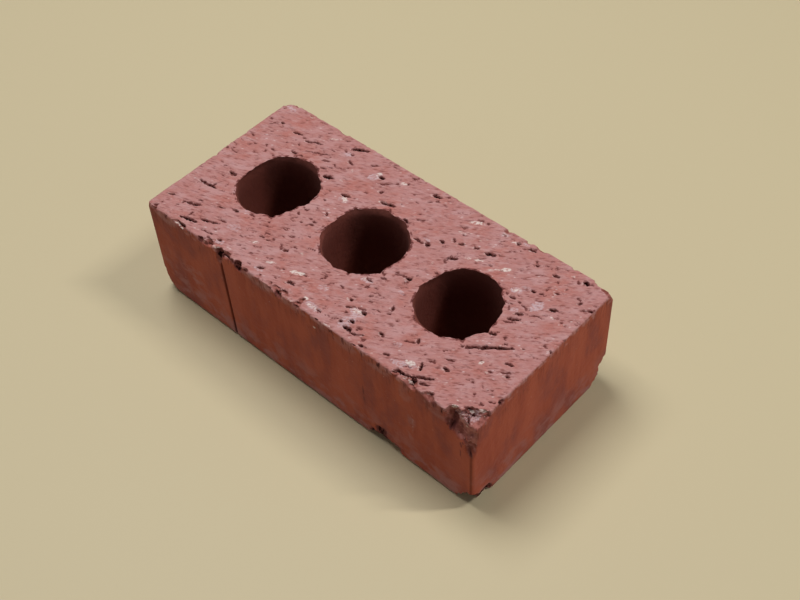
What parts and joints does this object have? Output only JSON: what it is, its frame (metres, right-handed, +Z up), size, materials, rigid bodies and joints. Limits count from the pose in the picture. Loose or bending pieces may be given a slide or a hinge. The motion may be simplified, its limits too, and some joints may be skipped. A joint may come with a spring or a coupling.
{
  "type": "cored clay brick",
  "caption": "Extruded clay brick with round cores from bed to bed, wire-cut beds and worn, chipped edges, laid in mortar to build walls.",
  "frame": {"origin": "middle of the lower bed face, which the brick lies on", "axes": "+X along the length, +Y across the width from the front face to the back face, +Z up"},
  "size_m": [0.194, 0.092, 0.057],
  "materials": {
    "fired_clay": "matte"
  },
  "bodies": {
    "root": {"brick": "fired_clay"}
  },
  "joints": []
}
